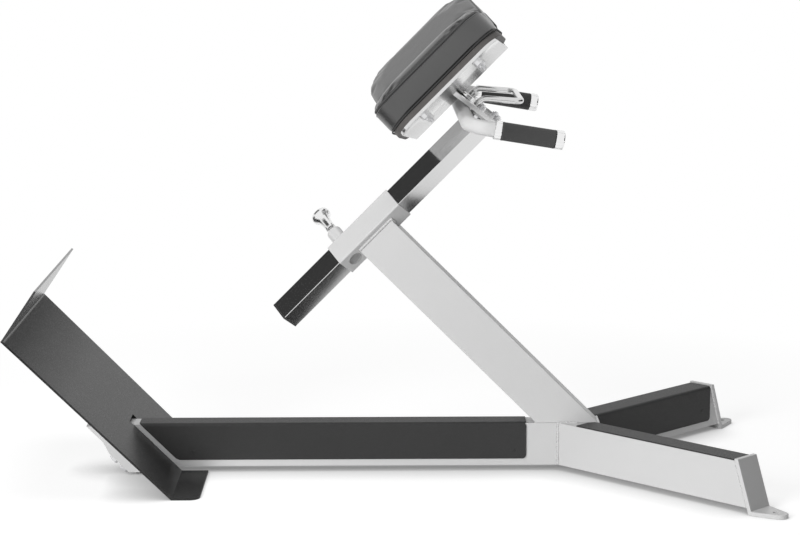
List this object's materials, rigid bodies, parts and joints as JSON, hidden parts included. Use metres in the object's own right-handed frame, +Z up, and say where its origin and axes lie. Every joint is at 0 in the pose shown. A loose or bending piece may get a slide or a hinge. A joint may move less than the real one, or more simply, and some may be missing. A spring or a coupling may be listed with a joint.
{
  "type": "hyperextension bench",
  "caption": "Hyperextension bench: splayed steel base, slotted footplate, sliding pad post with locking plunger, twin hip pads, handlebar grips and a loop handle.",
  "frame": {"origin": "on the floor, under the middle of the whole bench's length and width", "axes": "+X from the footplate towards the splayed legs, +Y to the left of someone looking along +X, +Z up"},
  "size_m": [1.4298, 0.7654, 0.9102],
  "materials": {
    "frame_silver": "satin silver powder coat",
    "cover_black": "fine textured black powder coat",
    "screw_black": "satin black",
    "footplate_black": "coarse textured black powder coat",
    "rubber": "matt moulded rubber",
    "grip_rubber": "matt moulded rubber",
    "plastic_black": "matt",
    "plastic_grey": "matt",
    "post_chrome": "polished plate",
    "bright_chrome": "polished plate",
    "zinc": "bright zinc plate",
    "board": "plywood stained black",
    "pad_vinyl": "grained upholstery vinyl with stitched seams"
  },
  "bodies": {
    "frame": {"main_beam": "frame_silver", "beam_end_plate": "frame_silver", "column": "frame_silver", "leg_left": "frame_silver", "leg_right": "frame_silver", "leg_foot_left": "frame_silver", "leg_foot_right": "frame_silver", "beam_cover": "cover_black", "leg_cover_left": "cover_black", "leg_cover_right": "cover_black", "cover_screws": "screw_black", "footplate": "footplate_black", "footplate_bracket": "frame_silver", "bracket_bolts": "zinc", "rubber_foot": "rubber", "post_sleeve": "frame_silver", "bush_upper": "plastic_black", "bush_lower": "plastic_black", "access_plug": "plastic_grey", "plunger_housing": "frame_silver", "plunger_spring": "zinc"},
    "post": {"inner_post": "post_chrome", "post_end_cap": "plastic_black", "post_flange": "frame_silver", "cap_plate": "frame_silver", "cap_bolts": "zinc", "cap_nuts": "zinc", "bar_saddles": "frame_silver", "handlebar": "frame_silver", "grip_left": "grip_rubber", "grip_right": "grip_rubber", "grip_collars": "bright_chrome", "grip_end_caps": "bright_chrome", "loop_handle": "frame_silver", "pad_plate": "frame_silver", "pad_board_left": "board", "pad_board_right": "board", "pad_left": "pad_vinyl", "pad_right": "pad_vinyl", "pad_inserts": "zinc", "pad_studs": "zinc", "pad_nuts": "zinc"},
    "plunger": {"plunger_pin": "bright_chrome", "plunger_knob": "bright_chrome"}
  },
  "joints": [
    {"name": "post_slide", "type": "slide", "parent": "frame", "child": "post", "axis": [0.7071, 0, 0.7071], "range_m": [-0.12, 0.12]},
    {"name": "pin_pull", "type": "slide", "parent": "frame", "child": "plunger", "axis": [-0.5, 0.7071, 0.5], "range_m": [-0.006, 0.008], "stiffness_N_per_m": 800, "deforming": ["plunger_spring"]}
  ]
}
